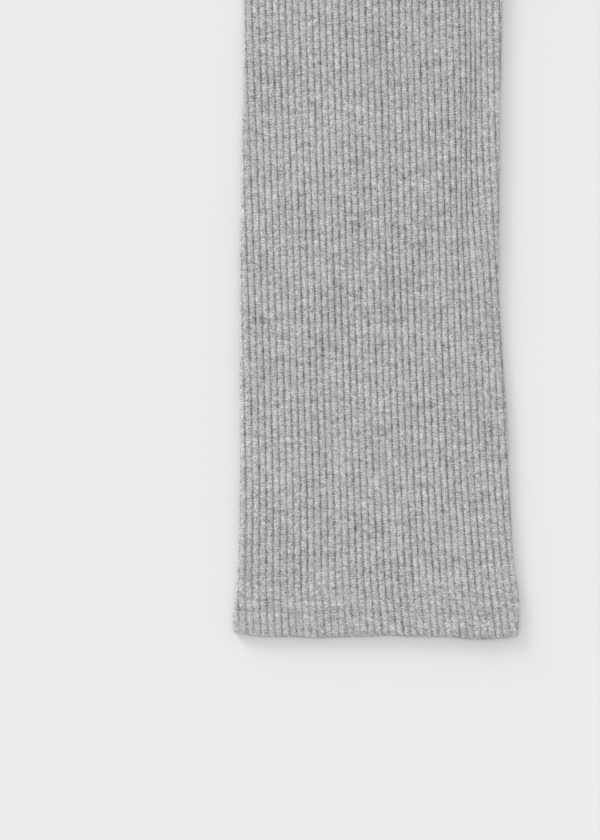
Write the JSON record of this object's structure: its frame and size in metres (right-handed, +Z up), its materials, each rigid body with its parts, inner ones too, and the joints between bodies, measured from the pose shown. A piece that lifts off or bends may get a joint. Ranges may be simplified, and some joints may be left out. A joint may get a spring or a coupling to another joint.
{
  "type": "pair of ribbed leggings laid flat",
  "caption": "Straight-legged ribbed leggings laid flat, front up: two one-piece legs with turned-up hems, joined at centre seams under a plain folded waistband.",
  "frame": {"origin": "on the surface that the leggings lie on, under the middle of their length and width", "axes": "+X to the wearer's left, +Y up the body towards the waist, +Z up from the surface, front of the garment facing up"},
  "size_m": [0.3798, 0.9801, 0.0064],
  "materials": {
    "rib_knit_legs": "brushed grey marl rib knit, matt, ribs about 3.3 mm apart",
    "rib_knit_band": "the same brushed grey marl rib knit, folded double"
  },
  "bodies": {
    "root": {"leg_right": "rib_knit_legs", "leg_left": "rib_knit_legs", "waistband": "rib_knit_band"}
  },
  "joints": []
}
